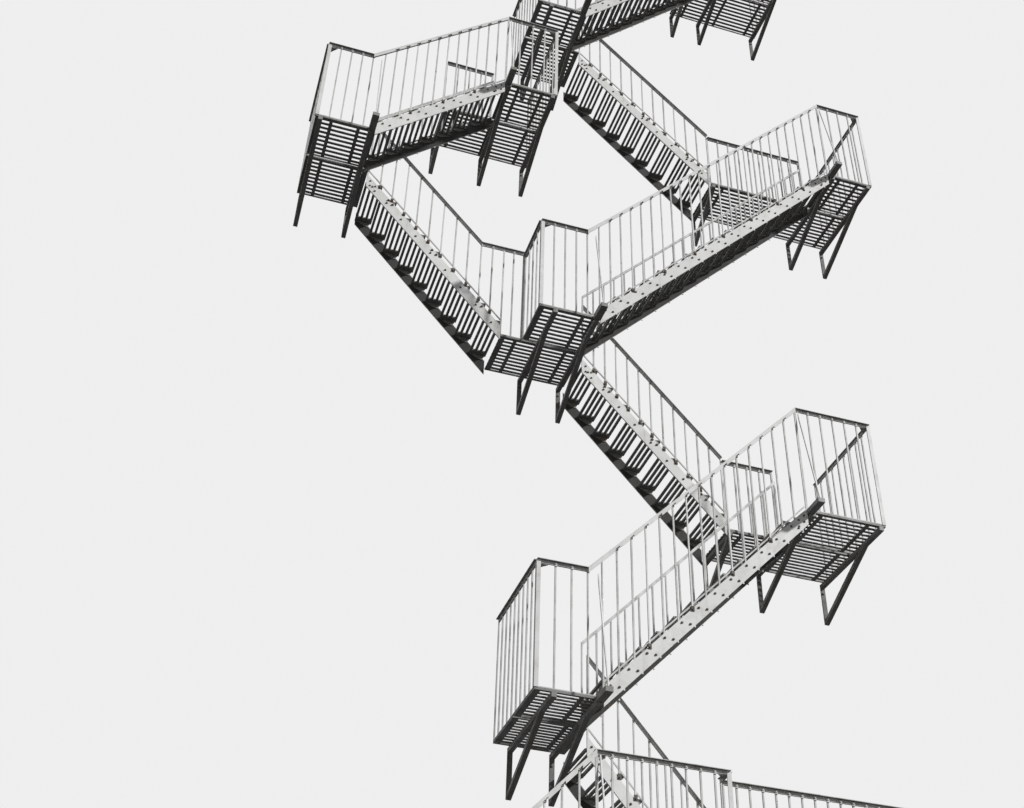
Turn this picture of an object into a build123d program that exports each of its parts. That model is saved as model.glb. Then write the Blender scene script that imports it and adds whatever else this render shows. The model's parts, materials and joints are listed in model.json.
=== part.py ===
from build123d import *
import os
from math import atan2, cos

# Fire escape stair of steel bars, bolted to a wall.
# X runs along the wall, -Y points away from it, Z is up. All sizes are in millimetres.
# Lengths along the wall and heights are first given from the left end and from the ground,
# and the whole stair is then moved so that the mounting bracket's wall face holds the origin.

# Planes parallel to the wall, as distances from its face
FLOOR_BACK = 55.0
WALL_STRINGER = 20.0
LANE_IN = 670.0
LANE_OUT = 695.0
FRONT = 1285.0
BALCONY_1_FRONT = 1065.0

# Guards and handrails
LANDING_GUARD = 1265.0
BALCONY_GUARD = 1290.0
TALL_GUARD = 1350.0
LANE_GUARD = 870.0
LANE_GUARD_LENGTH = 1000.0
SIDE_LANE_GUARD = 1308.0
OUTER_RAIL_INSIDE = 628.0
INNER_RAIL = 712.0
SIDE_INNER_RAIL = 810.0
RAIL_START = 140.0
RAIL_DEPTH = 40.0
RAIL_FLANGE = 38.0
RAIL_PLATE = 8.0
TOE_DEPTH = 12.0
POST = 30.0
CORNER_BAR = 22.0
BAR = 16.0
BAR_PITCH = 408.0
JOINT_BAR = BAR / 2
PANEL = 14.0

# Stringers, as distances below the line through the front edges of the treads
STRINGER_TOP = 80.0
STRINGER_LOW = 272.0

# Treads and landing floors
TREAD_BARS = 4
TREAD_DEPTH = 22.0
TREAD_BAR = 28.0
TREAD_WIDTH = 200.0
TREAD_END = 30.0
TREAD_WALL_END = 75.0
FLOOR_DEPTH = 22.0
SLAT = 14.0
SLAT_PITCH = 128.0
FLOOR_EDGE = 40.0

# Wall brackets
BRACKET_WIDTH = 50.0
BRACKET_BAR = 45.0
BRACKET_DROP = 490.0
BRACKET_LEG = 16.0
BRACE_REACH = 965.0
BRACKET_SPACE = 400.0

# Insets of the brackets from the left and the right edge of a landing
BALCONY_INSETS = (75.0, 50.0)
LANDING_INSETS = (180.0, 40.0)
SIDE_INSETS = (56.0, 50.0)

# Outriggers in front of the landings and the stays that hold the guards
OUTRIGGER_WIDTH = 75.0
OUTRIGGER_DEPTH = 50.0
OUTRIGGER_REACH = 1525.0
STAY = 14.0
STAY_INSET = 18.0

# Clearances between pieces that share a node
GAP = 0.5

# Width of the top plate on rails between the lanes, which stays clear of the outer lane
LANE_FLANGE = LANE_OUT - GAP - (LANE_IN - PANEL)

# Rise of one step
FIRST_RISE = 191.2
OUTER_RISE = 187.4
LOW_INNER_RISE = 196.4
INNER_RISE = 194.2
SIDE_INNER_RISE = 203.8
SIDE_OUTER_RISE = 179.8

# Each flight: landing at its foot, landing at its head, lane, number of risers and rise
FLIGHTS = {
    "flight_1": ("ground", "half_landing_1", "inner", 12, FIRST_RISE),
    "flight_2": ("half_landing_1", "balcony_1", "outer", 13, OUTER_RISE),
    "flight_3": ("balcony_1", "half_landing_2", "inner", 9, LOW_INNER_RISE),
    "flight_4": ("half_landing_2", "balcony_2", "outer", 13, OUTER_RISE),
    "flight_5": ("balcony_2", "half_landing_3", "inner", 10, INNER_RISE),
    "flight_6": ("half_landing_3", "balcony_3", "outer", 18, OUTER_RISE),
    "flight_7": ("balcony_3", "half_landing_4", "inner", 10, INNER_RISE),
    "flight_8": ("half_landing_4", "balcony_4", "outer", 13, OUTER_RISE),
    "side_flight_1": ("half_landing_3", "side_landing", "inner", 10, SIDE_INNER_RISE),
    "side_flight_2": ("side_landing", "side_balcony", "outer", 8, SIDE_OUTER_RISE),
}
GROUND_FOOT = 3430.0

# The nosing line of an outer flight reaches the landing's level this far before the landing
HEAD_LAP = 88.0

# Outer lane and inner lane of each floor, from left edge to right edge
OUTER_SPAN = {
    "half_landing_1": (770.0, 1400.0),
    "balcony_1": (3618.0, 4840.0),
    "half_landing_2": (3060.0, 3690.0),
    "balcony_2": (5908.0, 6800.0),
    "half_landing_3": (3020.0, 3700.0),
    "balcony_3": (6825.0, 7450.0),
    "half_landing_4": (2900.0, 3550.0),
    "balcony_4": (5768.0, 6780.0),
    "side_landing": (366.0, 1040.0),
    "side_balcony": (2510.0, 3170.0),
}
INNER_SPAN = {
    "half_landing_1": (770.0, 1440.0),
    "balcony_1": (5108.0, 6770.0),
    "half_landing_2": (3060.0, 3758.0),
    "balcony_2": (5310.0, 6800.0),
    "half_landing_3": (2770.0, 3712.0),
    "balcony_3": (5481.0, 7450.0),
    "half_landing_4": (2900.0, 3674.0),
    "balcony_4": (5361.0, 6780.0),
    "side_landing": (366.0, 1093.0),
    "side_balcony": (1896.0, 3170.0),
}

# Heights of the landings, climbed flight by flight from the ground
HEIGHT = {"ground": 0.0}
for foot, head, lane, risers, rise in FLIGHTS.values():
    HEIGHT[head] = HEIGHT[foot] + risers * rise

# The bracket that carries the origin
MOUNT_X = 5900.0
MOUNT_Z = HEIGHT["balcony_1"] - FLOOR_DEPTH - BRACKET_DROP / 2


def lattice(x0, x1, low, top, low_bar, top_bar, posts=(BAR, BAR)):
    """Outline of a flat panel: a lower and an upper rail, end posts and upright bars."""
    def at(pair, x):
        return pair[0] + (pair[1] - pair[0]) * (x - x0) / (x1 - x0)

    outline = Polygon((x0, low[0]), (x1, low[1]), (x1, top[1]), (x0, top[0]), align=None)
    bays = max(1, round((x1 - x0 - BAR) / BAR_PITCH))
    first = x0 + posts[0] / 2
    step = (x1 - posts[1] / 2 - first) / bays
    widths = [posts[0]] + [BAR] * (bays - 1) + [posts[1]]
    holes = []
    for n in range(bays):
        a = first + n * step + widths[n] / 2
        b = first + (n + 1) * step - widths[n + 1] / 2
        holes.append(Polygon(
            (a, at(low, a) + low_bar), (b, at(low, b) + low_bar),
            (b, at(top, b) - top_bar), (a, at(top, a) - top_bar), align=None))
    return outline - holes


def along_wall(face, distance):
    """Panel parallel to the wall whose outer face is at the given distance from it."""
    return extrude(Plane.XZ.offset(distance - PANEL) * face, amount=PANEL)


def across_wall(face, x, width):
    """Piece square to the wall, drawn over distance from the wall, standing right of x."""
    plane = Plane(origin=(x + width, 0, 0), x_dir=(0, -1, 0), z_dir=(-1, 0, 0))
    return extrude(plane * face, amount=width)


def rail_plate(x0, x1, top):
    """Outline of the rail's flat top plate."""
    return Polygon(
        (x0, top[0] - RAIL_PLATE), (x1, top[1] - RAIL_PLATE), (x1, top[1]), (x0, top[0]), align=None)


def railed_along(face, distance, plates, flange=RAIL_FLANGE):
    """Panel along the wall with a top plate that stands out on its outer side."""
    panel = along_wall(face, distance)
    for plate in plates:
        panel += extrude(Plane.XZ.offset(distance - PANEL) * plate, amount=flange)
    return panel


def grating(x0, x1, near, far, z):
    """Floor panel of flat bars that run along the wall between two end bars."""
    outline = Polygon((x0, -far), (x1, -far), (x1, -near), (x0, -near), align=None)
    gaps = max(1, round((far - near - SLAT) / SLAT_PITCH))
    step = (far - near - SLAT) / gaps
    holes = []
    for n in range(gaps):
        low = -far + SLAT + n * step
        high = low + step - SLAT
        holes.append(Polygon(
            (x0 + FLOOR_EDGE, low), (x1 - FLOOR_EDGE, low),
            (x1 - FLOOR_EDGE, high), (x0 + FLOOR_EDGE, high), align=None))
    return extrude(Plane.XY.offset(z - FLOOR_DEPTH) * (outline - holes), amount=FLOOR_DEPTH)


def tread(x0, x1, near, far, z, near_end):
    """Open tread: bars across the flight, joined by a carrier at each end."""
    outline = Polygon((x0, -far), (x1, -far), (x1, -near), (x0, -near), align=None)
    step = (x1 - x0 - TREAD_BAR) / (TREAD_BARS - 1)
    holes = []
    for n in range(TREAD_BARS - 1):
        a = x0 + n * step + TREAD_BAR
        b = a + step - TREAD_BAR
        holes.append(Polygon(
            (a, -far + TREAD_END), (b, -far + TREAD_END),
            (b, -near - near_end), (a, -near - near_end), align=None))
    return extrude(Plane.XY.offset(z - TREAD_DEPTH) * (outline - holes), amount=TREAD_DEPTH)


def bracket(x, z, far):
    """Wall bracket: arm under the floor, leg on the wall and a sloping brace between them."""
    top = z - FLOOR_DEPTH
    under_arm = top - BRACKET_BAR
    foot = top - BRACKET_DROP
    reach = min(BRACE_REACH, far)
    brace_rise = BRACKET_BAR / cos(atan2(under_arm - foot, reach - BRACKET_LEG))
    inner = BRACKET_LEG + (reach - BRACKET_LEG) * (under_arm - foot - brace_rise) / (under_arm - foot)
    outline = Polygon(
        (0, foot), (BRACKET_LEG, foot), (reach, under_arm), (far, under_arm), (far, top), (0, top), align=None)
    hole = Polygon((BRACKET_LEG, foot + brace_rise), (inner, under_arm), (BRACKET_LEG, under_arm), align=None)
    return across_wall(outline - hole, x - BRACKET_WIDTH / 2, BRACKET_WIDTH)


def outrigger_left(name):
    """Left side of the outrigger, at the corner where the landing meets its outer flight."""
    left, right = OUTER_SPAN[name]
    return left if "balcony" in name else right - OUTRIGGER_WIDTH


def outrigger(name):
    """Bar that stands out in front of a landing, level with its floor."""
    z = HEIGHT[name]
    near = FRONT + GAP
    face = Polygon(
        (near, z - OUTRIGGER_DEPTH), (OUTRIGGER_REACH, z - OUTRIGGER_DEPTH),
        (OUTRIGGER_REACH, z), (near, z), align=None)
    return across_wall(face, outrigger_left(name), OUTRIGGER_WIDTH)


def stay(name):
    """Sloping bar from the top rail of a guard down to the tip of the outrigger."""
    z = HEIGHT[name]
    top = z + guard_height(name) - RAIL_DEPTH
    tip = OUTRIGGER_REACH - STAY_INSET
    slope = atan2(top - z, tip - FRONT)
    foot_length = STAY / cos(atan2(tip - FRONT, top - z))
    top_length = STAY / cos(slope)
    face = Polygon(
        (FRONT, top - top_length), (tip - foot_length, z), (tip, z), (FRONT, top), align=None)
    return across_wall(face, outrigger_left(name) + (OUTRIGGER_WIDTH - STAY) / 2, STAY)


def guard_height(name):
    if name == "balcony_3":
        return TALL_GUARD
    return BALCONY_GUARD if name.startswith("balcony") else LANDING_GUARD


def landing_edge(name, lane, side):
    """Edge of a landing's floor in one lane, on the side that a flight meets."""
    if name == "ground":
        return GROUND_FOOT
    span = OUTER_SPAN[name] if lane == "outer" else INNER_SPAN[name]
    return span[side]


class Flight:
    """Position and slope of one flight, from the landings at its two ends."""
    def __init__(self, name):
        self.foot, self.head, self.lane, self.risers, self.rise = FLIGHTS[name]
        outer = self.lane == "outer"
        self.x_foot = landing_edge(self.foot, self.lane, 1 if outer else 0)
        self.x_edge = landing_edge(self.head, self.lane, 0 if outer else 1)
        self.z_foot = HEIGHT[self.foot]
        self.z_head = HEIGHT[self.head]
        self.x_head = self.x_edge - HEAD_LAP if outer else self.x_edge
        self.going = (self.x_head - self.x_foot) / (self.risers - 1)
        self.near = LANE_OUT if outer else WALL_STRINGER
        self.far = FRONT if outer else LANE_IN
        if outer:
            self.rail = OUTER_RAIL_INSIDE
        else:
            self.rail = SIDE_INNER_RAIL if name.startswith("side") else INNER_RAIL

    def pitch(self, x):
        """Height of the line through the front edges of the treads."""
        return self.z_foot + self.rise + (x - self.x_foot) * self.rise / self.going

    def side(self, x0, x1, rail, posts=(BAR, BAR)):
        """Outline of the stringer with its upright bars and handrail, between two places."""
        low = (self.pitch(x0) - STRINGER_LOW, self.pitch(x1) - STRINGER_LOW)
        return lattice(x0, x1, low, (rail(x0), rail(x1)), STRINGER_LOW - STRINGER_TOP, RAIL_DEPTH, posts)

    def handrail(self, x):
        return self.pitch(x) + self.rail

    def level_rail(self, x):
        """Top of the level rail that a side flight has over its lowest steps."""
        return self.z_foot + SIDE_LANE_GUARD

    def level_from(self):
        """Where an inner handrail runs into the level rail: its foot, or further up a side flight."""
        if self.rail != SIDE_INNER_RAIL:
            return self.x_foot
        climb = SIDE_LANE_GUARD - self.rail - self.rise
        return self.x_foot + climb * self.going / self.rise

    def guard_rail(self, x):
        """Top of the outer guard: straight from the guard of one landing to that of the next."""
        x0 = self.x_foot - RAIL_START
        z0 = self.z_foot + guard_height(self.foot)
        z1 = self.z_head + guard_height(self.head)
        return z0 + (z1 - z0) * (x - x0) / (self.x_edge - x0)

    def stringer(self, distance):
        """Plain stringer without a rail."""
        x0, x1 = sorted([self.x_foot, self.x_edge])
        face = Polygon(
            (x0, self.pitch(x0) - STRINGER_LOW), (x1, self.pitch(x1) - STRINGER_LOW),
            (x1, self.pitch(x1) - STRINGER_TOP), (x0, self.pitch(x0) - STRINGER_TOP), align=None)
        return along_wall(face, distance)

    def outer_sides(self):
        x0, x1 = self.x_foot, self.x_edge
        plate = rail_plate(x0, x1, (self.guard_rail(x0), self.guard_rail(x1)))
        front = self.side(x0, x1, self.guard_rail, (JOINT_BAR, JOINT_BAR))
        inside = self.side(x0, x1, self.handrail)
        return [railed_along(front, FRONT, [plate]), along_wall(inside, LANE_OUT + PANEL)]

    def inner_sides(self):
        x0, bend, x1 = self.x_edge, self.level_from(), self.x_foot
        face = self.side(x0, bend, self.handrail, (BAR, JOINT_BAR if bend < x1 else BAR))
        plates = [rail_plate(x0, bend, (self.handrail(x0), self.handrail(bend)))]
        if bend < x1:
            face += self.side(bend, x1, self.level_rail, (JOINT_BAR, JOINT_BAR))
            plates.append(rail_plate(bend, x1, (self.level_rail(bend), self.level_rail(x1))))
        return [railed_along(face, LANE_IN, plates, LANE_FLANGE), self.stringer(WALL_STRINGER + PANEL)]

    def sides(self):
        pieces = self.outer_sides() if self.lane == "outer" else self.inner_sides()
        if self.foot == "ground":
            below = Pos(self.x_foot, -FRONT / 2, -STRINGER_LOW) * Box(2 * FRONT, 2 * FRONT, 2 * STRINGER_LOW)
            pieces = [piece - below for piece in pieces]
        return pieces

    def treads(self):
        near_end = TREAD_END if self.lane == "outer" else TREAD_WALL_END
        out = []
        for n in range(1, self.risers):
            middle = self.x_foot + (n - 0.5) * self.going
            x0, x1 = middle - TREAD_WIDTH / 2, middle + TREAD_WIDTH / 2
            z = self.z_foot + n * self.rise
            out.append(tread(x0, x1, self.near + PANEL, self.far - PANEL, z, near_end))
        return out


def floor(name):
    z = HEIGHT[name]
    outer = grating(*OUTER_SPAN[name], LANE_OUT, FRONT, z)
    inner = grating(*INNER_SPAN[name], FLOOR_BACK, LANE_IN, z)
    pieces = [outer, inner]
    if name == "balcony_1":
        pieces.append(grating(OUTER_SPAN[name][1] + GAP, INNER_SPAN[name][1], LANE_OUT, BALCONY_1_FRONT, z))
    return pieces


def guard_along(x0, x1, z, height, distance, posts=(BAR, BAR)):
    """Guard along the wall with a top plate."""
    top = (z + height, z + height)
    face = lattice(x0, x1, (z, z), top, TOE_DEPTH, RAIL_DEPTH, posts)
    return railed_along(face, distance, [rail_plate(x0, x1, top)])


def lane_guard(x0, x1, z, height, distance):
    """Guard between the lanes, joined to a flight at its left end."""
    top = (z + height, z + height)
    face = lattice(x0, x1, (z, z), top, TOE_DEPTH, RAIL_DEPTH, (JOINT_BAR, CORNER_BAR))
    return railed_along(face, distance, [rail_plate(x0, x1, top)], LANE_FLANGE)


def guard_across(x, near, far, z, height, goes_right):
    """Guard square to the wall whose outer face is at x, with a top plate that stands out."""
    top = (z + height, z + height)
    face = lattice(near, far, (z, z), top, TOE_DEPTH, RAIL_DEPTH, (BAR, CORNER_BAR))
    panel = across_wall(face, x - PANEL if goes_right else x, PANEL)
    plate_left = x - PANEL if goes_right else x + PANEL - RAIL_FLANGE
    return panel + across_wall(rail_plate(near, far, top), plate_left, RAIL_FLANGE)


def front_guard(name):
    """Guard along a landing's front. Where a flight goes up, its rail rises with the flight."""
    z = HEIGHT[name]
    top = z + guard_height(name)
    left, right = OUTER_SPAN[name]
    starts = [flight for flight in FLIGHTS if FLIGHTS[flight][0] == name and FLIGHTS[flight][2] == "outer"]
    if not starts:
        return guard_along(left, right, z, guard_height(name), FRONT, (BAR, CORNER_BAR))
    flight = Flight(starts[0])
    bend = right - RAIL_START
    sloped = (top, flight.guard_rail(right))
    level_face = lattice(left, bend, (z, z), (top, top), TOE_DEPTH, RAIL_DEPTH, (POST, JOINT_BAR))
    sloped_face = lattice(bend, right, (z, z), sloped, TOE_DEPTH, RAIL_DEPTH, (JOINT_BAR, JOINT_BAR))
    plates = [rail_plate(left, bend, (top, top)), rail_plate(bend, right, sloped)]
    return railed_along(level_face + sloped_face, FRONT, plates)


def guards(name):
    z = HEIGHT[name]
    height = guard_height(name)
    left, right = OUTER_SPAN[name]
    inner_left, inner_right = INNER_SPAN[name]
    behind_front = FRONT - PANEL - GAP
    pieces = [front_guard(name)]
    if name == "balcony_1":
        step_back = BALCONY_1_FRONT
        clear_of_plate = right + RAIL_FLANGE - PANEL + GAP
        pieces.append(guard_across(right, step_back + RAIL_FLANGE - PANEL + GAP, behind_front, z, height, True))
        pieces.append(guard_along(clear_of_plate, inner_right, z, height, step_back))
        pieces.append(guard_across(inner_right, FLOOR_BACK, step_back - PANEL - GAP, z, height, True))
        pieces.append(lane_guard(left, left + LANE_GUARD_LENGTH, z, LANE_GUARD, LANE_OUT + PANEL))
    elif "balcony" in name:
        pieces.append(guard_across(right, FLOOR_BACK, behind_front, z, height, True))
        pieces.append(lane_guard(inner_left, left - GAP, z, LANE_GUARD, LANE_IN))
    elif name == "half_landing_3":
        pieces.append(guard_across(left, LANE_IN + GAP, behind_front, z, height, False))
        pieces.append(lane_guard(inner_left, left, z, SIDE_LANE_GUARD, LANE_IN))
    else:
        pieces.append(guard_across(left, FLOOR_BACK, behind_front, z, height, False))
    return pieces


def bracket_insets(name):
    if name.startswith("side"):
        return SIDE_INSETS
    return BALCONY_INSETS if name.startswith("balcony") else LANDING_INSETS


def bracket_places(name):
    """Distances along the wall of the brackets under one landing, with their reach."""
    left, right = OUTER_SPAN[name]
    inner_left, inner_right = INNER_SPAN[name]
    left_inset, right_inset = bracket_insets(name)
    places = [(left + left_inset, FRONT), (right - right_inset, FRONT)]
    if name == "balcony_1":
        return places + [(MOUNT_X, BALCONY_1_FRONT), (inner_right - right_inset, BALCONY_1_FRONT)]
    if left - inner_left > BRACKET_SPACE:
        places.append((inner_left + FLOOR_EDGE, LANE_IN))
    return places


def write(name, pieces):
    moved = [Pos(-MOUNT_X, 0, -MOUNT_Z) * piece for piece in pieces]
    export_step(Compound(label=name, children=moved), f"parts/{name}.step")


os.makedirs("parts", exist_ok=True)
for name in OUTER_SPAN:
    write(f"{name}_floor", floor(name))
    write(f"{name}_guards", guards(name))
for group in ("balcony", "landing"):
    names = [name for name in OUTER_SPAN if group in name]
    arms = [bracket(x, HEIGHT[name], far) for name in names for x, far in bracket_places(name)]
    write(f"{group}_brackets", arms + [outrigger(name) for name in names])
    write(f"{group}_stays", [stay(name) for name in names])
for name in FLIGHTS:
    flight = Flight(name)
    write(f"{name}_sides", flight.sides())
    write(f"{name}_treads", flight.treads())
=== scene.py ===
import bmesh
import bpy
import json
from math import cos, pi, radians, sin
from random import Random
from mathutils import Matrix, Vector

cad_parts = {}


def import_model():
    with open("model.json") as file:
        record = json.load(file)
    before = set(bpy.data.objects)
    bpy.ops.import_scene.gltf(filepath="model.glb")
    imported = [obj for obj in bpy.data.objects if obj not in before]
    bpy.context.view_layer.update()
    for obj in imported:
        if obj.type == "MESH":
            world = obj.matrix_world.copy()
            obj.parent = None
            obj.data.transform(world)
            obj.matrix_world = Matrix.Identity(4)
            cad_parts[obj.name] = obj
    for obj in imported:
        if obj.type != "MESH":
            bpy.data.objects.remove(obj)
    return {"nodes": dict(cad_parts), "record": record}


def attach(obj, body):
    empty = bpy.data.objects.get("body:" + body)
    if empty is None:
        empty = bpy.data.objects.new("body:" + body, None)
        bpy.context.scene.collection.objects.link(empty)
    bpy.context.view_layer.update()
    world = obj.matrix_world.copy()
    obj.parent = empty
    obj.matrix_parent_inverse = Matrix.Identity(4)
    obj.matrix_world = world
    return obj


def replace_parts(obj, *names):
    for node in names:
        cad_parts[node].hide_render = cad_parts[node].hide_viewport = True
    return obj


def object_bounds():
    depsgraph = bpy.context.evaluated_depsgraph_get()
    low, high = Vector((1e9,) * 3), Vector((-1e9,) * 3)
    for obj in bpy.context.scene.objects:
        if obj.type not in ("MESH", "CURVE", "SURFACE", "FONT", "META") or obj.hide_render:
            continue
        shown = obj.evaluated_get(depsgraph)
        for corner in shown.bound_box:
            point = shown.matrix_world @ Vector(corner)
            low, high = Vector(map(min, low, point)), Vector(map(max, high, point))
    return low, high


# Looks of a steel fire escape stair: bars, slats, bolts, lugs, plates and paint.
# Lengths are in metres, in the frame of the loaded model: X to the right, Y to the back, Z up.
# Angles are in degrees, and the turns of bolts in radians.

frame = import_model()
cad_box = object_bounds()

X, Y, Z = 0, 1, 2

# Camera
CAMERA_X = -5.900
CAMERA_Y = -11.035
CAMERA_ABOVE_FOOT = 1.600
CAMERA_AZIMUTH = 15.81
CAMERA_ELEVATION = 37.81
CAMERA_ROLL = -2.35
CAMERA_LENS = 45.74
SENSOR_WIDTH = 36.0
NEAREST_SEEN = 0.1
FURTHEST_SEEN = 500.0

# Upright bars, and their flattened heads on the outer face of the rails
BAR = 0.016
BAR_SPACING = 0.138
HEAD_WIDTH = 0.027
HEAD_HEIGHT = 0.036
HEAD_BELOW_RAIL = 0.012
HEAD_PLATE = 0.006
HEAD_RIVET_SHARE = 0.6

# Rails: top plate, notched outer flange, lip, and the flat bar over a stringer
RAIL_DEPTH = 0.040
RAIL_PLATE = 0.008
LEAST_PLATE_REACH = 0.010
FLANGE_DEPTH = 0.052
FLANGE_THICKNESS = 0.006
FLANGE_INSET = 0.0005
NOTCH_WIDTH = 0.044
NOTCH_DEPTH = 0.028
RAIL_BEND = 0.140
RAIL_LIP = 0.016
RAIL_LIP_INSET = 0.0005
BOTTOM_RAIL_HEIGHT = 0.022
BOTTOM_RAIL_DEPTH = 0.009
BOTTOM_RAIL_ABOVE_OUTER = 0.030
BOTTOM_RAIL_ABOVE_INNER = 0.072

# Corners of the guards
GUSSET = 0.095
GUSSET_PLATE = 0.006
POST_LEG = 0.034
POST_PLATE = 0.006

# Treads: their bolts, and the carriers under their ends
TREAD_BOLT_DROP = 0.062
TREAD_BOLT_SPACING = 0.084
TREAD_BOLT_BEHIND = 0.017
CARRIER_DEPTH = 0.058
CARRIER_PLATE = 0.008
CARRIER_INSET = 0.012
CARRIER_TIP = 0.040
TAB_WIDTH = 0.014
TAB_DROP = 0.016
TAB_BEHIND = 0.104

# Bolts in the webs of the stringers
FIRST_BRACED_TREAD = 1
BRACED_TREADS_APART = 3
BRACE_BOLT_SPACING = 0.052
BRACE_BOLT_DROP = 0.034
BRACE_BOLT_SIZE = 1.2
END_BOLT_INSETS = (0.045, 0.110)
END_BOLT_DROPS = (0.050, 0.125)
END_BOLT_SIZE = 0.9

# Lugs at the feet of the upright bars
LUG_WIDTH = 0.033
LUG_HEIGHT = 0.052
LUG_PLATE = 0.007
LUG_SHARE_ABOVE_OUTER = 0.4
LUG_SHARE_ABOVE_INNER = 0.85
LUG_BOLT_SHARE = 0.68
LUG_BOLT_TURN = 0.3
LUG_BOLT_SIZE = 0.8

# Slatted floors
SLAT_SPACING = 0.060
SLAT = 0.031
SLAT_THICKNESS = 0.008
SLAT_RIVET_INSET = 0.030
SLAT_RIVET_SINK = 0.003
EDGE_BAR = 0.010
END_BAR = 0.062
END_BAR_THICKNESS = 0.010
CROSS_BAR = 0.038
CROSS_BAR_DEPTH = 0.012
CROSS_BAR_INSET = 0.183
LONGEST_WITHOUT_MIDDLE_BAR = 0.900

# Anchor bolts in the legs of the brackets. A solid that ends before the gap at the back has no leg
BRACKET_LEG = 0.016
BACK_GAP = 0.010
ANCHOR_ABOVE_FOOT = 0.070
ANCHOR_BELOW_TOP = 0.110
ANCHOR_TURN = 0.2
ANCHOR_SIZE = 1.2

# Fasteners
BOLT_RADIUS = 0.0095
BOLT_HEIGHT = 0.008
BOLT_CORNERS = 6
WASHER_RADIUS = 0.0125
WASHER_HEIGHT = 0.0025
WASHER_CORNERS = 14
RIVET_RADIUS = 0.0075
RIVET_HEIGHT = 0.005
RIVET_CORNERS = 8
DICE_SEED = 7

# Depth by which an added piece reaches into the steel that carries it
EMBED = 0.002

# Rounded edges of the loaded nodes
NODE_EDGE = 0.0012
SHARP_FROM = 40
WELD_WITHIN = 0.00005

# Reading of the loaded meshes: a face is square to an axis from this share of its normal
SQUARE = 0.99
POINT_DIGITS = 5
PLACE_DIGITS = 4
SAME_PLACE = 0.001

# Paint: uneven tone of the coat, and its gloss
PAINT_DARKEST = 0.90
PAINT_LIGHTEST = 1.06
PAINT_GLOSS = 0.20

# Other tones on the steel, and the tone of painted shade
RUST = (0.115, 0.062, 0.036)
RUST_STAIN = (0.26, 0.155, 0.09)
BARE_STEEL = (0.23, 0.23, 0.225)
PAINTED_SHADE_TONE = (0.050, 0.049, 0.047)

# Patterns: scale, detail and roughness of a noise
BROAD_NOISE = (0.9, 2.0, 0.55)
PATCH_NOISE = (7.0, 4.0, 0.55)
RUN_NOISE = (16.0, 3.0, 0.5)
RUN_STRETCH = (1.0, 1.0, 0.09)
GRAIN_NOISE = (210.0, 2.0, 0.6)
SPOT_NOISE = (38.0, 5.0, 0.65)

# Ramps: two values of a pattern, and the two shares there where these aren't 0 and 1
BROAD_RAMP = (0.3, 0.7)
DIRT_IN_PATCHES = (0.44, 0.68, 0.0, 0.55)
DIRT_IN_RUNS = (0.54, 0.72, 0.0, 0.42)
RUST_IN_PATCHES = (0.40, 0.62)
STAIN_IN_RUNS = (0.57, 0.75)
STAIN_IN_PATCHES = (0.50, 0.72, 0.0, 0.6)
ROUGHNESS_IN_PATCHES = (0.3, 0.7, 0.42, 0.62)

# The finish itself sets the last share on rubbed tops, and the value of the spots where rust begins
RUBBED_IN_SPOTS = (0.38, 0.60, 0.25)
RUST_EDGE = 0.05

# Ramps over one part of a face's normal, which says whether the face looks down, up or forward
# Faces that look down get painted shade, darkest where they look straight down
SHADE_LOOKING_DOWN = (-0.95, -0.45, 0.75, 0.0)
LOOKING_UP = (0.85, 0.98)
LOOKING_FORWARD = (-0.9, -0.5, 1.0, 0.0)

# Painted shade sets in between two places towards the back, and ends just under a stringer's top edge
SHADE_AT_BACK = (-0.075, -0.045)
SHADE_ON_OUTER_FLIGHT = (-0.740, -0.720)
SHADE_EDGE = 0.015

# How much rust, painted shade and rubbing change the roughness and the metal
ROUGHER_WITH_RUST_AND_SHADE = 0.3
SMOOTHER_WHERE_RUBBED = 0.15
METAL_WHERE_RUBBED = 0.8

# Relief of the brushed coat, the rust and the grain: distance and strength
COAT_RELIEF = (0.0012, 0.35)
RUST_RELIEF = (0.0006, 0.7)
GRAIN_RELIEF = (0.0004, 0.5)

# Finish of each kind of steel. Floors have that of the treads. Treads, floors and brackets are painted
# darker than the stringers and guards, as painted shade of their undersides.
STRINGER_FINISH = {"paint": (0.74, 0.74, 0.725), "dirt": (0.57, 0.56, 0.535), "rust_from": 0.66}
GUARD_FINISH = {"paint": (0.60, 0.60, 0.585), "dirt": (0.34, 0.33, 0.31), "rust_from": 0.62}
TREAD_FINISH_AND_SHADE = {"paint": (0.26, 0.26, 0.25), "dirt": (0.15, 0.145, 0.135), "rust_from": 0.60, "rubbed": 0.85}
BRACKET_FINISH_AND_SHADE = {"paint": (0.29, 0.29, 0.28), "dirt": (0.16, 0.15, 0.14), "rust_from": 0.57, "shade_strength": 0.45}
# Bolts are dark as rust, and as painted shade around their heads
FASTENER_RUST_AND_SHADE = {"paint": (0.11, 0.10, 0.09), "dirt": (0.05, 0.04, 0.035), "rust_from": 0.50}

# Studio: how the floor and the world look to the camera, and how they light the stair
FLOOR_REACH = 60.0
FLOOR_ROUGHNESS = 0.9
FLOOR_SEEN = (0.70, 0.70, 0.695, 1)
FLOOR_BOUNCE = (0.09, 0.09, 0.09, 1)
WORLD_SEEN = (0.86, 0.86, 0.86, 1)
WORLD_FILL = (0.95, 0.97, 1.0, 1)
WORLD_FILL_STRENGTH = 0.16
LAMP_DISTANCE = 30.0


# Materials


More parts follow.
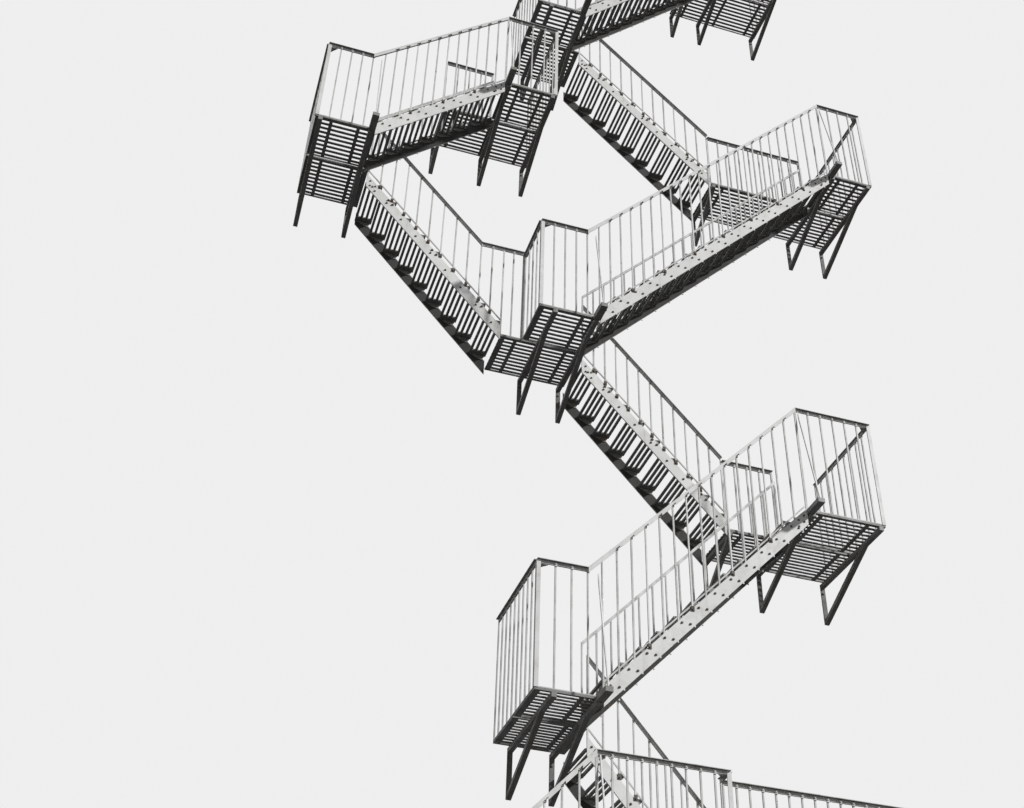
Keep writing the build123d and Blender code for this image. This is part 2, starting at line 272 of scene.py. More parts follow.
class Nodes:
    """Short way to write a material's node tree."""
    def __init__(self, name):
        self.material = bpy.data.materials.new(name)
        self.material.use_nodes = True
        self.tree = self.material.node_tree
        self.shader = self.tree.nodes["Principled BSDF"]
        self.place = self.add("ShaderNodeTexCoord").outputs["Object"]

    def add(self, kind, **settings):
        node = self.tree.nodes.new(kind)
        for key, value in settings.items():
            setattr(node, key, value)
        return node

    def link(self, source, target):
        self.tree.links.new(source, target)

    def parts_of(self, vector):
        """The X, Y and Z parts of a vector."""
        node = self.add("ShaderNodeSeparateXYZ")
        self.link(vector, node.inputs["Vector"])
        return node.outputs

    def noise(self, scale, detail, roughness, stretch=(1, 1, 1)):
        mapping = self.add("ShaderNodeMapping")
        mapping.inputs["Scale"].default_value = stretch
        self.link(self.place, mapping.inputs["Vector"])
        node = self.add("ShaderNodeTexNoise")
        node.inputs["Scale"].default_value = scale
        node.inputs["Detail"].default_value = detail
        node.inputs["Roughness"].default_value = roughness
        self.link(mapping.outputs["Vector"], node.inputs["Vector"])
        return node.outputs["Fac"]

    def ramp(self, source, low, high, out_low=0.0, out_high=1.0):
        """Straight ramp between two values of the source, held level beyond them."""
        node = self.add("ShaderNodeMapRange")
        node.inputs["From Min"].default_value = low
        node.inputs["From Max"].default_value = high
        node.inputs["To Min"].default_value = out_low
        node.inputs["To Max"].default_value = out_high
        self.link(source, node.inputs["Value"])
        return node.outputs["Result"]

    def math(self, kind, a, b):
        node = self.add("ShaderNodeMath", operation=kind)
        for value, socket in ((a, node.inputs[0]), (b, node.inputs[1])):
            if isinstance(value, (int, float)):
                socket.default_value = value
            else:
                self.link(value, socket)
        return node.outputs[0]

    def mix(self, share, a, b):
        """Tone a where the share is 0, and tone b where it is 1."""
        node = self.add("ShaderNodeMix", data_type="RGBA")
        self.link(share, node.inputs["Factor"])
        for value, socket in ((a, node.inputs["A"]), (b, node.inputs["B"])):
            if isinstance(value, tuple):
                socket.default_value = (*value, 1.0)
            else:
                self.link(value, socket)
        return node.outputs["Result"]

    def bump(self, source, distance, strength, below=None):
        """Relief from a pattern, on top of the relief below it."""
        node = self.add("ShaderNodeBump")
        node.inputs["Distance"].default_value = distance
        node.inputs["Strength"].default_value = strength
        self.link(source, node.inputs["Height"])
        if below is not None:
            self.link(below, node.inputs["Normal"])
        return node.outputs["Normal"]


def painted_shade_share(n, facing, shade_strength, shade_places, top_edge):
    """Share of painted shade towards the back. On a stringer it stays on the front face, below the top edge.
    """
    place = n.parts_of(n.place)
    share = n.ramp(place["Y"], *shade_places, 0.0, shade_strength)
    if top_edge:
        slope, level = top_edge
        height = n.math("SUBTRACT", place["Z"], n.math("MULTIPLY", place["X"], slope))
        share = n.math("MULTIPLY", share, n.ramp(height, level - SHADE_EDGE, level, 1.0, 0.0))
        share = n.math("MULTIPLY", share, n.ramp(facing["Y"], *LOOKING_FORWARD))
    return share


def painted_steel(name, paint, dirt, rust_from, rubbed=0.0,
                  shade_strength=0.0, shade_places=SHADE_AT_BACK, top_edge=None):
    """Worn grey paint on steel: uneven tone, grime, rust spots and runs, rubbed tops, and painted shade on
    faces that look down and towards the back.
    """
    n = Nodes(name)
    n.shader.inputs["Specular IOR Level"].default_value = PAINT_GLOSS
    facing = n.parts_of(n.add("ShaderNodeNewGeometry").outputs["Normal"])
    broad = n.noise(*BROAD_NOISE)
    patches = n.noise(*PATCH_NOISE)
    runs = n.noise(*RUN_NOISE, RUN_STRETCH)
    grain = n.noise(*GRAIN_NOISE)
    spots = n.noise(*SPOT_NOISE)

    darkest = tuple(part * PAINT_DARKEST for part in paint)
    lightest = tuple(min(1.0, part * PAINT_LIGHTEST) for part in paint)
    tone = n.mix(n.ramp(broad, *BROAD_RAMP), darkest, lightest)
    tone = n.mix(n.ramp(patches, *DIRT_IN_PATCHES), tone, dirt)
    tone = n.mix(n.ramp(runs, *DIRT_IN_RUNS), tone, dirt)

    # Painted shade on faces that look down, and towards the back where a share of it is asked
    painted_shade = n.ramp(facing["Z"], *SHADE_LOOKING_DOWN)
    if shade_strength:
        painted_shade = n.math("MAXIMUM", painted_shade, painted_shade_share(n, facing, shade_strength, shade_places, top_edge))
    tone = n.mix(painted_shade, tone, PAINTED_SHADE_TONE)

    stain = n.math("MULTIPLY", n.ramp(runs, *STAIN_IN_RUNS), n.ramp(patches, *STAIN_IN_PATCHES))
    tone = n.mix(stain, tone, RUST_STAIN)
    rust_spots = n.ramp(spots, rust_from, rust_from + RUST_EDGE)
    rust = n.math("MULTIPLY", rust_spots, n.ramp(patches, *RUST_IN_PATCHES))
    tone = n.mix(rust, tone, RUST)

    rough = n.ramp(patches, *ROUGHNESS_IN_PATCHES)
    rough = n.math("ADD", rough, n.math("MULTIPLY", n.math("MAXIMUM", rust, painted_shade), ROUGHER_WITH_RUST_AND_SHADE))
    if rubbed:
        top = n.math("MULTIPLY", n.ramp(facing["Z"], *LOOKING_UP), n.ramp(spots, *RUBBED_IN_SPOTS, rubbed))
        tone = n.mix(top, tone, BARE_STEEL)
        rough = n.math("SUBTRACT", rough, n.math("MULTIPLY", top, SMOOTHER_WHERE_RUBBED))
        n.link(n.math("MULTIPLY", top, METAL_WHERE_RUBBED), n.shader.inputs["Metallic"])
    n.link(tone, n.shader.inputs["Base Color"])
    n.link(rough, n.shader.inputs["Roughness"])

    coat = n.bump(patches, *COAT_RELIEF)
    rusted = n.bump(rust, *RUST_RELIEF, coat)
    n.link(n.bump(grain, *GRAIN_RELIEF, rusted), n.shader.inputs["Normal"])
    return n.material


MATERIALS = {
    "stringer_steel": painted_steel("stringer_paint", **STRINGER_FINISH),
    "guard_steel": painted_steel("guard_paint", **GUARD_FINISH),
    "tread_steel": painted_steel("tread_paint", **TREAD_FINISH_AND_SHADE),
    "floor_steel": painted_steel("floor_paint", **TREAD_FINISH_AND_SHADE),
    "bracket_steel": painted_steel("bracket_paint", **BRACKET_FINISH_AND_SHADE),
    "rusted_and_shaded_fastener": painted_steel("fastener_rust_and_shade", **FASTENER_RUST_AND_SHADE),
}


def round_edges(piece):
    """Small rounded edges, as on rolled steel bars."""
    weld = piece.modifiers.new("weld", "WELD")
    weld.merge_threshold = WELD_WITHIN
    bevel = piece.modifiers.new("edges", "BEVEL")
    bevel.width = NODE_EDGE
    bevel.segments = 1
    bevel.limit_method = "ANGLE"
    bevel.angle_limit = radians(SHARP_FROM)


def finish_nodes():
    """Gives the loaded nodes the paint of their slots, and rounded edges."""
    slots = {entry["node"]: entry["material_slot"] for entry in frame["record"]["subparts"]}
    for node, piece in frame["nodes"].items():
        piece.data.materials.clear()
        piece.data.materials.append(MATERIALS[slots[node]])
        round_edges(piece)


# Making of pieces


class Solids:
    """Closed solids that together make one piece."""
    def __init__(self):
        self.points = []
        self.faces = []

    def between(self, first, second):
        """Solid between two outlines that have the same number of corners."""
        start = len(self.points)
        count = len(first)
        self.points += [tuple(point) for point in (*first, *second)]
        self.faces.append([start + n for n in reversed(range(count))])
        self.faces.append([start + count + n for n in range(count)])
        for n in range(count):
            m = (n + 1) % count
            self.faces.append([start + n, start + m, start + count + m, start + count + n])

    def box(self, low, high):
        x0, y0, z0 = low
        x1, y1, z1 = high
        self.between([(x0, y0, z0), (x1, y0, z0), (x1, y1, z0), (x0, y1, z0)],
                     [(x0, y0, z1), (x1, y0, z1), (x1, y1, z1), (x0, y1, z1)])

    def strip(self, start, end, across, height):
        """Flat bar between two points: its ends are upright, and height is measured upright."""
        side = Vector(across)
        up = Vector((0, 0, height))
        ends = [[at, at + side, at + side + up, at + up] for at in (Vector(start), Vector(end))]
        self.between(*ends)

    def prism(self, centre, axis, radius, height, corners, turn=0.0):
        """Prism that stands on a point, such as a bolt head, a washer or a rivet. Its axis has length 1."""
        first = axis.orthogonal().normalized()
        second = axis.cross(first)
        ring = []
        for n in range(corners):
            angle = turn + 2 * pi * n / corners
            ring.append(centre + first * radius * cos(angle) + second * radius * sin(angle))
        self.between(ring, [point + axis * height for point in ring])

    def bolt(self, centre, axis, turn=0.0, size=1.0):
        """Washer and six-sided head, seated on the face that holds the point."""
        axis = Vector(axis)
        seat = Vector(centre) - axis * EMBED
        height = (BOLT_HEIGHT + WASHER_HEIGHT) * size + EMBED
        self.prism(seat, axis, WASHER_RADIUS * size, WASHER_HEIGHT + EMBED, WASHER_CORNERS)
        self.prism(seat, axis, BOLT_RADIUS * size, height, BOLT_CORNERS, turn)

    def rivet(self, centre, axis):
        """Flat round head of a rivet."""
        axis = Vector(axis)
        self.prism(Vector(centre) - axis * EMBED, axis, RIVET_RADIUS, RIVET_HEIGHT + EMBED, RIVET_CORNERS)

    def make(self, name, slot, finish=None):
        """Makes the piece. Its finish is the slot's own, unless another is named."""
        mesh = bpy.data.meshes.new(name)
        mesh.from_pydata(self.points, [], self.faces)
        shape = bmesh.new()
        shape.from_mesh(mesh)
        bmesh.ops.recalc_face_normals(shape, faces=shape.faces)
        shape.to_mesh(mesh)
        shape.free()
        mesh.materials.append(MATERIALS[finish or slot])
        piece = bpy.data.objects.new(name, mesh)
        bpy.context.scene.collection.objects.link(piece)
        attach(piece, "root")
        return piece


# Reading of the loaded nodes


class Solid:
    """One loose solid of a node: its triangles, each with corners and a normal, and its box."""
    def __init__(self, triangles):
        self.triangles = triangles
        self.points = [point for corners, normal in triangles for point in corners]
        self.low = Vector([min(point[axis] for point in self.points) for axis in (X, Y, Z)])
        self.high = Vector([max(point[axis] for point in self.points) for axis in (X, Y, Z)])
        self.size = self.high - self.low
        self.centre = (self.high + self.low) / 2


def solids_of(node):
    """Splits a node's mesh into its loose solids."""
    mesh = frame["nodes"][node].data
    mesh.calc_loop_triangles()
    keys = [tuple(round(part, POINT_DIGITS) for part in vertex.co) for vertex in mesh.vertices]
    parent = {key: key for key in keys}

    def root(key):
        while parent[key] != key:
            parent[key] = parent[parent[key]]
            key = parent[key]
        return key

    for triangle in mesh.loop_triangles:
        first, *others = [keys[vertex] for vertex in triangle.vertices]
        for other in others:
            parent[root(other)] = root(first)
    groups = {}
    for triangle in mesh.loop_triangles:
        corners = [mesh.vertices[vertex].co.copy() for vertex in triangle.vertices]
        normal = (corners[1] - corners[0]).cross(corners[2] - corners[0]).normalized()
        groups.setdefault(root(keys[triangle.vertices[0]]), []).append((corners, normal))
    return [Solid(group) for group in groups.values()]


def names_with(ending):
    """Names of the flights or landings, from the nodes that have this ending."""
    return sorted(node[:-len(ending)] for node in frame["nodes"] if node.endswith(ending))


class Bay:
    """Open space between two upright bars of a panel, and the heights that it has at both."""
    def __init__(self, start, start_range, end, end_range):
        self.start = start
        self.start_range = start_range
        self.end = end
        self.end_range = end_range

    def height(self, at, edge):
        """Height of the lower edge, 0, or the upper edge, 1, of the space at a place along it."""
        share = (at - self.start) / (self.end - self.start)
        return self.start_range[edge] + (self.end_range[edge] - self.start_range[edge]) * share

    def low(self, at):
        return self.height(at, 0)

    def high(self, at):
        return self.height(at, 1)


def bays_of(panel, along):
    """Bays of a panel, in order along one axis."""
    faces = {}
    for corners, normal in panel.triangles:
        if abs(normal[along]) > SQUARE:
            place = (round(corners[0][along], PLACE_DIGITS), 1 if normal[along] > 0 else -1)
            heights = [point.z for point in corners]
            low, high = faces.get(place, (min(heights), max(heights)))
            faces[place] = (min(low, *heights), max(high, *heights))
    ordered = sorted(faces)
    bays = []
    for first, second in zip(ordered, ordered[1:]):
        if first[1] == 1 and second[1] == -1:
            bays.append(Bay(first[0], faces[first], second[0], faces[second]))
    return bays


def whole_bay(panel, along):
    """One bay from the first to the last open space of a straight panel."""
    bays = bays_of(panel, along)
    if not bays:
        return None
    return Bay(bays[0].start, bays[0].start_range, bays[-1].end, bays[-1].end_range)


def long_axis(panel):
    """X for a panel that runs left to right, and Y for one that runs to the back."""
    return X if panel.size.x > panel.size.y else Y


def bar_planes(panel, across):
    """Thickness range of a panel's bars, without a top plate that stands out."""
    areas = {}
    for corners, normal in panel.triangles:
        if abs(normal[across]) > SQUARE:
            place = round(corners[0][across], PLACE_DIGITS)
            area = (corners[1] - corners[0]).cross(corners[2] - corners[0]).length
            areas[place] = areas.get(place, 0) + area
    largest = sorted(areas, key=areas.get)[-2:]
    return min(largest), max(largest)


def plate_side(panel, across):
    """Outer face of a panel and the way it looks, which is where the top plate stands out."""
    near, far = bar_planes(panel, across)
    if panel.low[across] < near - LEAST_PLATE_REACH:
        return near, -1
    if panel.high[across] > far + LEAST_PLATE_REACH:
        return far, 1
    return None


def in_plan(along, at, side):
    """X and Y of a place that is given along a panel and across it."""
    return (at, side) if along == X else (side, at)


# Upright bars


def added_middles(bay):
    """Middles of the bars that are added in one bay."""
    width = bay.end - bay.start + BAR
    count = max(0, round(width / BAR_SPACING) - 1)
    return [bay.start - BAR / 2 + (n + 1) * width / (count + 1) for n in range(count)]


def bar_middles(panel, along):
    """Middles of all upright bars between the end posts, each with a bay that touches it."""
    places = []
    bays = bays_of(panel, along)
    for bay in bays:
        places += [(middle, bay) for middle in added_middles(bay)]
        if bay is not bays[-1]:
            places.append((bay.end + BAR / 2, bay))
    return places


def extra_bars(target, panel):
    """Upright bars between those that the panel already has."""
    along = long_axis(panel)
    near, far = bar_planes(panel, 1 - along)
    for bay in bays_of(panel, along):
        for middle in added_middles(bay):
            left, right = middle - BAR / 2, middle + BAR / 2
            outline = [(left, near), (right, near), (right, far), (left, far)]
            foot = [(*in_plan(along, at, side), bay.low(at) - EMBED) for at, side in outline]
            head = [(*in_plan(along, at, side), bay.high(at) + EMBED) for at, side in outline]
            target.between(foot, head)


def plate_on(target, panel, along, middle, width, low, high, thickness):
    """Small upright plate on the outer face of a panel. Gives where its face is and the way it looks."""
    face, way = plate_side(panel, 1 - along) or (bar_planes(panel, 1 - along)[0], -1)
    inner, outer = sorted((face - way * EMBED, face + way * thickness))
    target.box((*in_plan(along, middle - width / 2, inner), low),
               (*in_plan(along, middle + width / 2, outer), high))
    return in_plan(along, middle, face + way * thickness), (*in_plan(along, 0, way), 0)


def bar_heads(target, panel):
    """Flattened and riveted heads of the bars, on the outer face of the rail."""
    along = long_axis(panel)
    if not plate_side(panel, 1 - along):
        return
    for middle, bay in bar_middles(panel, along):
        low = bay.high(middle) - HEAD_BELOW_RAIL
        place, way = plate_on(target, panel, along, middle, HEAD_WIDTH, low, low + HEAD_HEIGHT, HEAD_PLATE)
        target.rivet((*place, low + HEAD_HEIGHT * HEAD_RIVET_SHARE), way)


def bars_and_heads(name, panels):
    """Added bars of a flight or a landing, and the heads of all its bars."""
    bars = Solids()
    heads = Solids()
    for panel in panels:
        extra_bars(bars, panel)
        bar_heads(heads, panel)
    bars.make(f"{name}_bars", "guard_steel")
    heads.make(f"{name}_bar_heads", "guard_steel")


# Flights


class Flight:
    """One flight: its treads from the foot to the head, and its two sides.

    Up is 1 where it climbs to the right. An outer flight has a barred guard on both of its sides.
    """
    def __init__(self, name):
        self.name = name
        self.treads = sorted(solids_of(f"{name}_treads"), key=lambda tread: tread.low.z)
        self.sides = solids_of(f"{name}_sides")
        self.up = 1 if self.treads[-1].centre.x > self.treads[0].centre.x else -1
        self.is_outer = all(bays_of(side, X) for side in self.sides)

    def outer_face(self, side):
        """Face of a stringer that looks away from the flight, and the way it looks."""
        near, far = bar_planes(side, Y)
        if near < self.treads[0].centre.y:
            return near, (0, -1, 0)
        return far, (0, 1, 0)

    def head_of(self, side):
        """X of the upper end of a side."""
        return side.high.x if self.up > 0 else side.low.x


def stringers_with_painted_shade(flight):
    """Paint of the stringers, with painted shade on the front face of the rear one."""
    whole = next(bay for bay in (whole_bay(side, X) for side in flight.sides) if bay)
    slope = (whole.low(whole.end) - whole.low(whole.start)) / (whole.end - whole.start)
    level = whole.low(whole.start) - slope * whole.start
    places = SHADE_ON_OUTER_FLIGHT if flight.is_outer else SHADE_AT_BACK
    paint = painted_steel(f"{flight.name}_paint", **STRINGER_FINISH,
                          shade_strength=1.0, shade_places=places, top_edge=(slope, level))
    frame["nodes"][f"{flight.name}_sides"].data.materials[0] = paint


def bottom_rails(flight):
    """Flat bar that ties the upright bars together just over the stringer."""
    target = Solids()
    above = BOTTOM_RAIL_ABOVE_OUTER if flight.is_outer else BOTTOM_RAIL_ABOVE_INNER
    for side in flight.sides:
        near, far = bar_planes(side, Y)
        y = (near + far - BOTTOM_RAIL_DEPTH) / 2
        for bay in bays_of(side, X):
            start = (bay.start - EMBED, y, bay.low(bay.start) + above)
            end = (bay.end + EMBED, y, bay.low(bay.end) + above)
            target.strip(start, end, (0, BOTTOM_RAIL_DEPTH, 0), BOTTOM_RAIL_HEIGHT)
    target.make(f"{flight.name}_bottom_rails", "guard_steel")


def tread_bolts(flight, dice):
    """Bolts through the stringers into the treads: pairs on an outer flight, single ones on an inner."""
    target = Solids()
    offsets = (-TREAD_BOLT_SPACING / 2, TREAD_BOLT_SPACING / 2) if flight.is_outer else (0.0,)
    for side in flight.sides:
        y, way = flight.outer_face(side)
        for tread in flight.treads:
            for offset in offsets:
                x = tread.centre.x + flight.up * TREAD_BOLT_BEHIND + offset
                target.bolt((x, y, tread.high.z - TREAD_BOLT_DROP), way, dice.uniform(0, pi))
    target.make(f"{flight.name}_bolts", "stringer_steel", "rusted_and_shaded_fastener")


def web_bolts(flight, dice):
    """Pairs of bolts near the top edge of an inner stringer, and four bolts at each upper end."""
    target = Solids()
    offsets = () if flight.is_outer else (0.0, BRACE_BOLT_SPACING)
    for side in flight.sides:
        whole = whole_bay(side, X)
        if not whole:
            continue
        y, way = flight.outer_face(side)
        for tread in flight.treads[FIRST_BRACED_TREAD::BRACED_TREADS_APART]:
            for offset in offsets:
                x = tread.centre.x + offset
                place = (x, y, whole.low(x) - BRACE_BOLT_DROP)
                target.bolt(place, way, dice.uniform(0, pi), BRACE_BOLT_SIZE)
        for inset in END_BOLT_INSETS:
            for drop in END_BOLT_DROPS:
                x = flight.head_of(side) - flight.up * inset
                target.bolt((x, y, whole.low(x) - drop), way, dice.uniform(0, pi), END_BOLT_SIZE)
    target.make(f"{flight.name}_web_bolts", "stringer_steel", "rusted_and_shaded_fastener")


def bar_lugs(flight):
    """Lugs at the feet of the upright bars: at each bar of an inner flight, at some of an outer one."""
    target = Solids()
    above = LUG_HEIGHT * (LUG_SHARE_ABOVE_OUTER if flight.is_outer else LUG_SHARE_ABOVE_INNER)
    for side in flight.sides:
        loaded = [round(bay.end + BAR / 2, PLACE_DIGITS) for bay in bays_of(side, X)]
        for middle, bay in bar_middles(side, X):
            if flight.is_outer and round(middle, PLACE_DIGITS) not in loaded:
                continue
            high = bay.low(middle) + above
            place, way = plate_on(target, side, X, middle, LUG_WIDTH, high - LUG_HEIGHT, high, LUG_PLATE)
            bolt = (*place, high - LUG_HEIGHT * LUG_BOLT_SHARE)
            target.bolt(bolt, way, LUG_BOLT_TURN, LUG_BOLT_SIZE)
    target.make(f"{flight.name}_lugs", "guard_steel", "rusted_and_shaded_fastener")


def carriers(flight):
    """Plates under the ends of the treads, which hold them to the stringers."""
    target = Solids()
    for tread in flight.treads:
        top = tread.low.z + EMBED
        bottom = top - CARRIER_DEPTH
        tip = tread.centre.x - flight.up * CARRIER_TIP
        outline = [(tread.low.x + CARRIER_INSET, top), (tread.high.x - CARRIER_INSET, top),
                   (tip + CARRIER_TIP / 2, bottom), (tip - CARRIER_TIP / 2, bottom)]
        for y in (tread.low.y, tread.high.y - CARRIER_PLATE):
            target.between([(x, y, z) for x, z in outline], [(x, y + CARRIER_PLATE, z) for x, z in outline])
    target.make(f"{flight.name}_carriers", "tread_steel")


def rail_flange(flight):
    """Outer flange of the sloping guard rail, with a notch over each upright bar."""
    target = Solids()
    for side in flight.sides:
        if not plate_side(side, Y):
            continue
        whole = whole_bay(side, X)
        y = side.low.y + FLANGE_INSET
        cuts = []
        for middle, bay in bar_middles(side, X):
            cuts += [middle - NOTCH_WIDTH / 2, middle + NOTCH_WIDTH / 2]
        ends = [side.low.x - RAIL_BEND, *cuts, side.high.x]
        for n, (x0, x1) in enumerate(zip(ends, ends[1:])):
            depth = FLANGE_DEPTH - (NOTCH_DEPTH if n % 2 else 0)
            low = RAIL_DEPTH - RAIL_PLATE - depth
            target.strip((x0, y, whole.high(x0) + low), (x1, y, whole.high(x1) + low),
                         (0, FLANGE_THICKNESS, 0), depth + EMBED)
    target.make(f"{flight.name}_rail_flange", "stringer_steel")


def tabs(flight):
    """Small ends of the carriers, which show below the stringers."""
    target = Solids()
    for side in flight.sides:
        whole = whole_bay(side, X)
        if not whole:
            continue
        near, far = bar_planes(side, Y)
        head = flight.head_of(side)
        depth = whole.low(head) - min(point.z for point in side.points if abs(point.x - head) < SAME_PLACE)
        for tread in flight.treads:
            x = tread.centre.x + flight.up * TAB_BEHIND
            low = whole.low(x) - depth
            target.box((x - TAB_WIDTH / 2, near + EMBED, low - TAB_DROP),
                       (x + TAB_WIDTH / 2, far - EMBED, low + TAB_DROP))
    target.make(f"{flight.name}_tabs", "stringer_steel")


def build_flights():
    dice = Random(DICE_SEED)
    for name in names_with("_sides"):
        flight = Flight(name)
        stringers_with_painted_shade(flight)
        bars_and_heads(name, flight.sides)
        bottom_rails(flight)
        tread_bolts(flight, dice)
        web_bolts(flight, dice)
        bar_lugs(flight)
        carriers(flight)
        if flight.is_outer:
            rail_flange(flight)
            tabs(flight)


# Landings


def corner_gussets(name, ends):
    """Flat plates under the rails in the front corners of the guard."""
    target = Solids()
    for panel in ends:
        near, far = bar_planes(panel, X)
        face, way = plate_side(panel, X)
        inner = face - way * (far - near)
        y = panel.low.y
        high = whole_bay(panel, Y).high(y)
        outline = [(inner, y), (inner - way * GUSSET, y), (inner, y + GUSSET)]
        target.between([(*corner, high - GUSSET_PLATE) for corner in outline],
                       [(*corner, high) for corner in outline])
    target.make(f"{name}_gussets", "guard_steel")


def corner_posts(name, panels, ends):
    """Angle posts on the outer corners of the guard, from the floor to the rail's top plate."""
    target = Solids()
    fronts = [bar_planes(panel, Y)[0] for panel in panels if long_axis(panel) == X]
    for panel in ends:
        side, way = plate_side(panel, X)
        front = min(fronts, key=lambda y: abs(y - panel.low.y))
        low, high = panel.low.z, panel.high.z - RAIL_PLATE + EMBED
        left, right = sorted((side - way * POST_LEG, side + way * POST_PLATE))
        target.box((left, front - POST_PLATE, low), (right, front + EMBED, high))
        left, right = sorted((side - way * EMBED, side + way * POST_PLATE))
        target.box((left, front, low), (right, front + POST_LEG, high))
    target.make(f"{name}_corner_posts", "guard_steel", "stringer_steel")


def rail_lips(name, ends):
    """Inner edges of the rails that run to the back."""
    target = Solids()
    for panel in ends:
        near, far = bar_planes(panel, X)
        way = plate_side(panel, X)[1]
        inner = near if way > 0 else far
        left, right = sorted((inner + way * EMBED, inner - way * RAIL_LIP))
        target.box((left, panel.low.y, panel.high.z - RAIL_PLATE),
                   (right, panel.high.y, panel.high.z - RAIL_LIP_INSET))
    target.make(f"{name}_rail_lips", "guard_steel")


def cross_bar_places(panel):
    """Middles of the cross bars under a floor panel."""
    places = [panel.low.x + CROSS_BAR_INSET, panel.high.x - CROSS_BAR_INSET]
    if panel.size.x > LONGEST_WITHOUT_MIDDLE_BAR:
        places.append(panel.centre.x)
    return places


def floor_frame(target, panel, crosses):
    """Upright edge bars at the front and the back, and flat bars at the ends and under the slats."""
    low, high = panel.low, panel.high
    front, back = low.y + EDGE_BAR - EMBED, high.y - EDGE_BAR + EMBED
    under = high.z - SLAT_THICKNESS
    target.box(low, (high.x, low.y + EDGE_BAR, high.z))
    target.box((low.x, high.y - EDGE_BAR, low.z), high)
    for x in (low.x, high.x - END_BAR):
        target.box((x, front, low.z), (x + END_BAR, back, low.z + END_BAR_THICKNESS))
    for x in crosses:
        target.box((x - CROSS_BAR / 2, front, under - CROSS_BAR_DEPTH),
                   (x + CROSS_BAR / 2, back, under + EMBED))


def floor_slats(slats, rivets, panel, crosses):
    """Flat slats from left to right, with a rivet over each bar that carries them."""
    low, high = panel.low, panel.high
    room = panel.size.y - 2 * EDGE_BAR
    count = round(room / SLAT_SPACING)
    for n in range(count):
        middle = low.y + EDGE_BAR + (n + 0.5) * room / count
        slats.box((low.x + EMBED, middle - SLAT / 2, high.z - SLAT_THICKNESS),
                  (high.x - EMBED, middle + SLAT / 2, high.z))
        for x in (low.x + SLAT_RIVET_INSET, *crosses, high.x - SLAT_RIVET_INSET):
            rivets.rivet((x, middle, high.z - SLAT_RIVET_SINK), (0, 0, 1))


def slatted_floor(name):
    """Floor of flat slats from left to right, riveted to flat bars across them."""
    bars = Solids()
    slats = Solids()
    rivets = Solids()
    for panel in solids_of(f"{name}_floor"):
        crosses = cross_bar_places(panel)
        floor_frame(bars, panel, crosses)
        floor_slats(slats, rivets, panel, crosses)
    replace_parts(slats.make(f"{name}_slats", "floor_steel"), f"{name}_floor")
    bars.make(f"{name}_floor_frame", "floor_steel")
    rivets.make(f"{name}_floor_rivets", "floor_steel")


def build_landings():
    for name in names_with("_floor"):
        panels = solids_of(f"{name}_guards")
        ends = [panel for panel in panels if long_axis(panel) == Y]
        bars_and_heads(name, panels)
        corner_gussets(name, ends)
        corner_posts(name, panels, ends)
        rail_lips(name, ends)
        slatted_floor(name)


# Brackets


def anchor_bolts():
    """Anchor bolts near the foot and the top of each bracket's leg. Outriggers don't reach the back."""
    target = Solids()
    solids = solids_of("balcony_brackets") + solids_of("landing_brackets")
    for bracket in (solid for solid in solids if solid.high.y >= -BACK_GAP):
        for z in (bracket.low.z + ANCHOR_ABOVE_FOOT, bracket.high.z - ANCHOR_BELOW_TOP):
            target.bolt((bracket.centre.x, -BRACKET_LEG, z), (0, -1, 0), ANCHOR_TURN, ANCHOR_SIZE)
    target.make("bracket_anchor_bolts", "bracket_steel")


# Studio


def background_share(tree):
    """1 for rays that see the background, from the camera, off gloss or through glass, and 0 for others."""
    path = tree.nodes.new("ShaderNodeLightPath")
    share = path.outputs["Is Camera Ray"]
    for kind in ("Is Glossy Ray", "Is Transmission Ray"):
        larger = tree.nodes.new("ShaderNodeMath")
        larger.operation = "MAXIMUM"
        tree.links.new(share, larger.inputs[0])
        tree.links.new(path.outputs[kind], larger.inputs[1])
        share = larger.outputs[0]
    return share


def floor_material():
    """Pale to the camera and in reflections, and darker where it lights the stair."""
    material = bpy.data.materials.new("studio_floor")
    material.use_nodes = True
    tree = material.node_tree
    tone = tree.nodes.new("ShaderNodeMix")
    tone.data_type = "RGBA"
    tone.inputs["A"].default_value = FLOOR_BOUNCE
    tone.inputs["B"].default_value = FLOOR_SEEN
    shader = tree.nodes["Principled BSDF"]
    shader.inputs["Roughness"].default_value = FLOOR_ROUGHNESS
    tree.links.new(background_share(tree), tone.inputs["Factor"])
    tree.links.new(tone.outputs["Result"], shader.inputs["Base Color"])
    return material


def stage():
    """Level floor under the lowest point of the stair."""
    z = cad_box[0].z
    reach = FLOOR_REACH
    mesh = bpy.data.meshes.new("floor")
    mesh.from_pydata([(-reach, -reach, z), (reach, -reach, z), (reach, reach, z), (-reach, reach, z)],
                     [], [[0, 1, 2, 3]])
    mesh.materials.append(floor_material())
    floor = bpy.data.objects.new("studio_floor", mesh)
    bpy.context.scene.collection.objects.link(floor)


def lamp(name, strength, angle, azimuth, elevation):
    """Distant lamp. Azimuth 0 shines from the front and 90 from the right."""
    data = bpy.data.lights.new(name, "SUN")
    data.energy = strength
    data.angle = radians(angle)
    a, e = radians(azimuth), radians(elevation)
    towards = Vector((sin(a) * cos(e), -cos(a) * cos(e), sin(e)))
    light = bpy.data.objects.new(name, data)
    light.rotation_mode = "QUATERNION"
    light.rotation_quaternion = towards.to_track_quat("Z", "Y")
    light.location = towards * LAMP_DISTANCE
    bpy.context.scene.collection.objects.link(light)


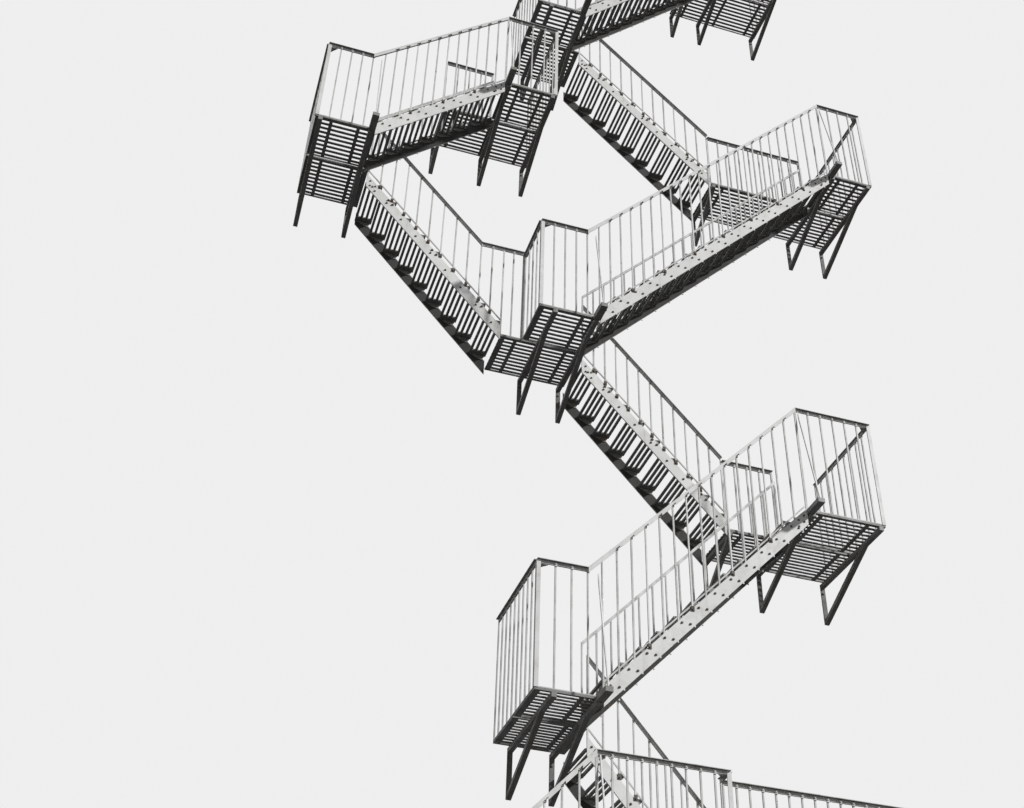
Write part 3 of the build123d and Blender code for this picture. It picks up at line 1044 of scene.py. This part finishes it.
def world():
    """Pale to the camera and in reflections, and a weak fill for everything else."""
    data = bpy.data.worlds.new("studio")
    bpy.context.scene.world = data
    data.use_nodes = True
    tree = data.node_tree
    tree.nodes.clear()
    seen = tree.nodes.new("ShaderNodeBackground")
    seen.inputs["Color"].default_value = WORLD_SEEN
    fill = tree.nodes.new("ShaderNodeBackground")
    fill.inputs["Color"].default_value = WORLD_FILL
    fill.inputs["Strength"].default_value = WORLD_FILL_STRENGTH
    mix = tree.nodes.new("ShaderNodeMixShader")
    out = tree.nodes.new("ShaderNodeOutputWorld")
    tree.links.new(background_share(tree), mix.inputs["Fac"])
    tree.links.new(fill.outputs["Background"], mix.inputs[1])
    tree.links.new(seen.outputs["Background"], mix.inputs[2])
    tree.links.new(mix.outputs["Shader"], out.inputs["Surface"])


def camera():
    """Camera low in front of the stair, looking up and slightly rolled."""
    data = bpy.data.cameras.new("camera")
    data.sensor_width = SENSOR_WIDTH
    data.lens = CAMERA_LENS
    data.clip_start = NEAREST_SEEN
    data.clip_end = FURTHEST_SEEN
    view = bpy.data.objects.new("camera", data)
    a, e, r = radians(CAMERA_AZIMUTH), radians(CAMERA_ELEVATION), radians(CAMERA_ROLL)
    forward = Vector((sin(a) * cos(e), cos(a) * cos(e), sin(e)))
    level = Vector((cos(a), -sin(a), 0))
    upright = level.cross(forward)
    right = level * cos(r) - upright * sin(r)
    up = level * sin(r) + upright * cos(r)
    turn = Matrix((right, up, -forward)).transposed()
    place = (CAMERA_X, CAMERA_Y, cad_box[0].z + CAMERA_ABOVE_FOOT)
    view.matrix_world = Matrix.Translation(place) @ turn.to_4x4()
    bpy.context.scene.collection.objects.link(view)
    bpy.context.scene.camera = view


finish_nodes()
build_flights()
build_landings()
anchor_bolts()
stage()
lamp("key", strength=4.3, angle=3.5, azimuth=54, elevation=35)
lamp("front", strength=0.15, angle=30, azimuth=-20, elevation=15)
lamp("back", strength=1.0, angle=25, azimuth=160, elevation=30)
world()
camera()
bpy.context.scene.view_settings.view_transform = "Standard"
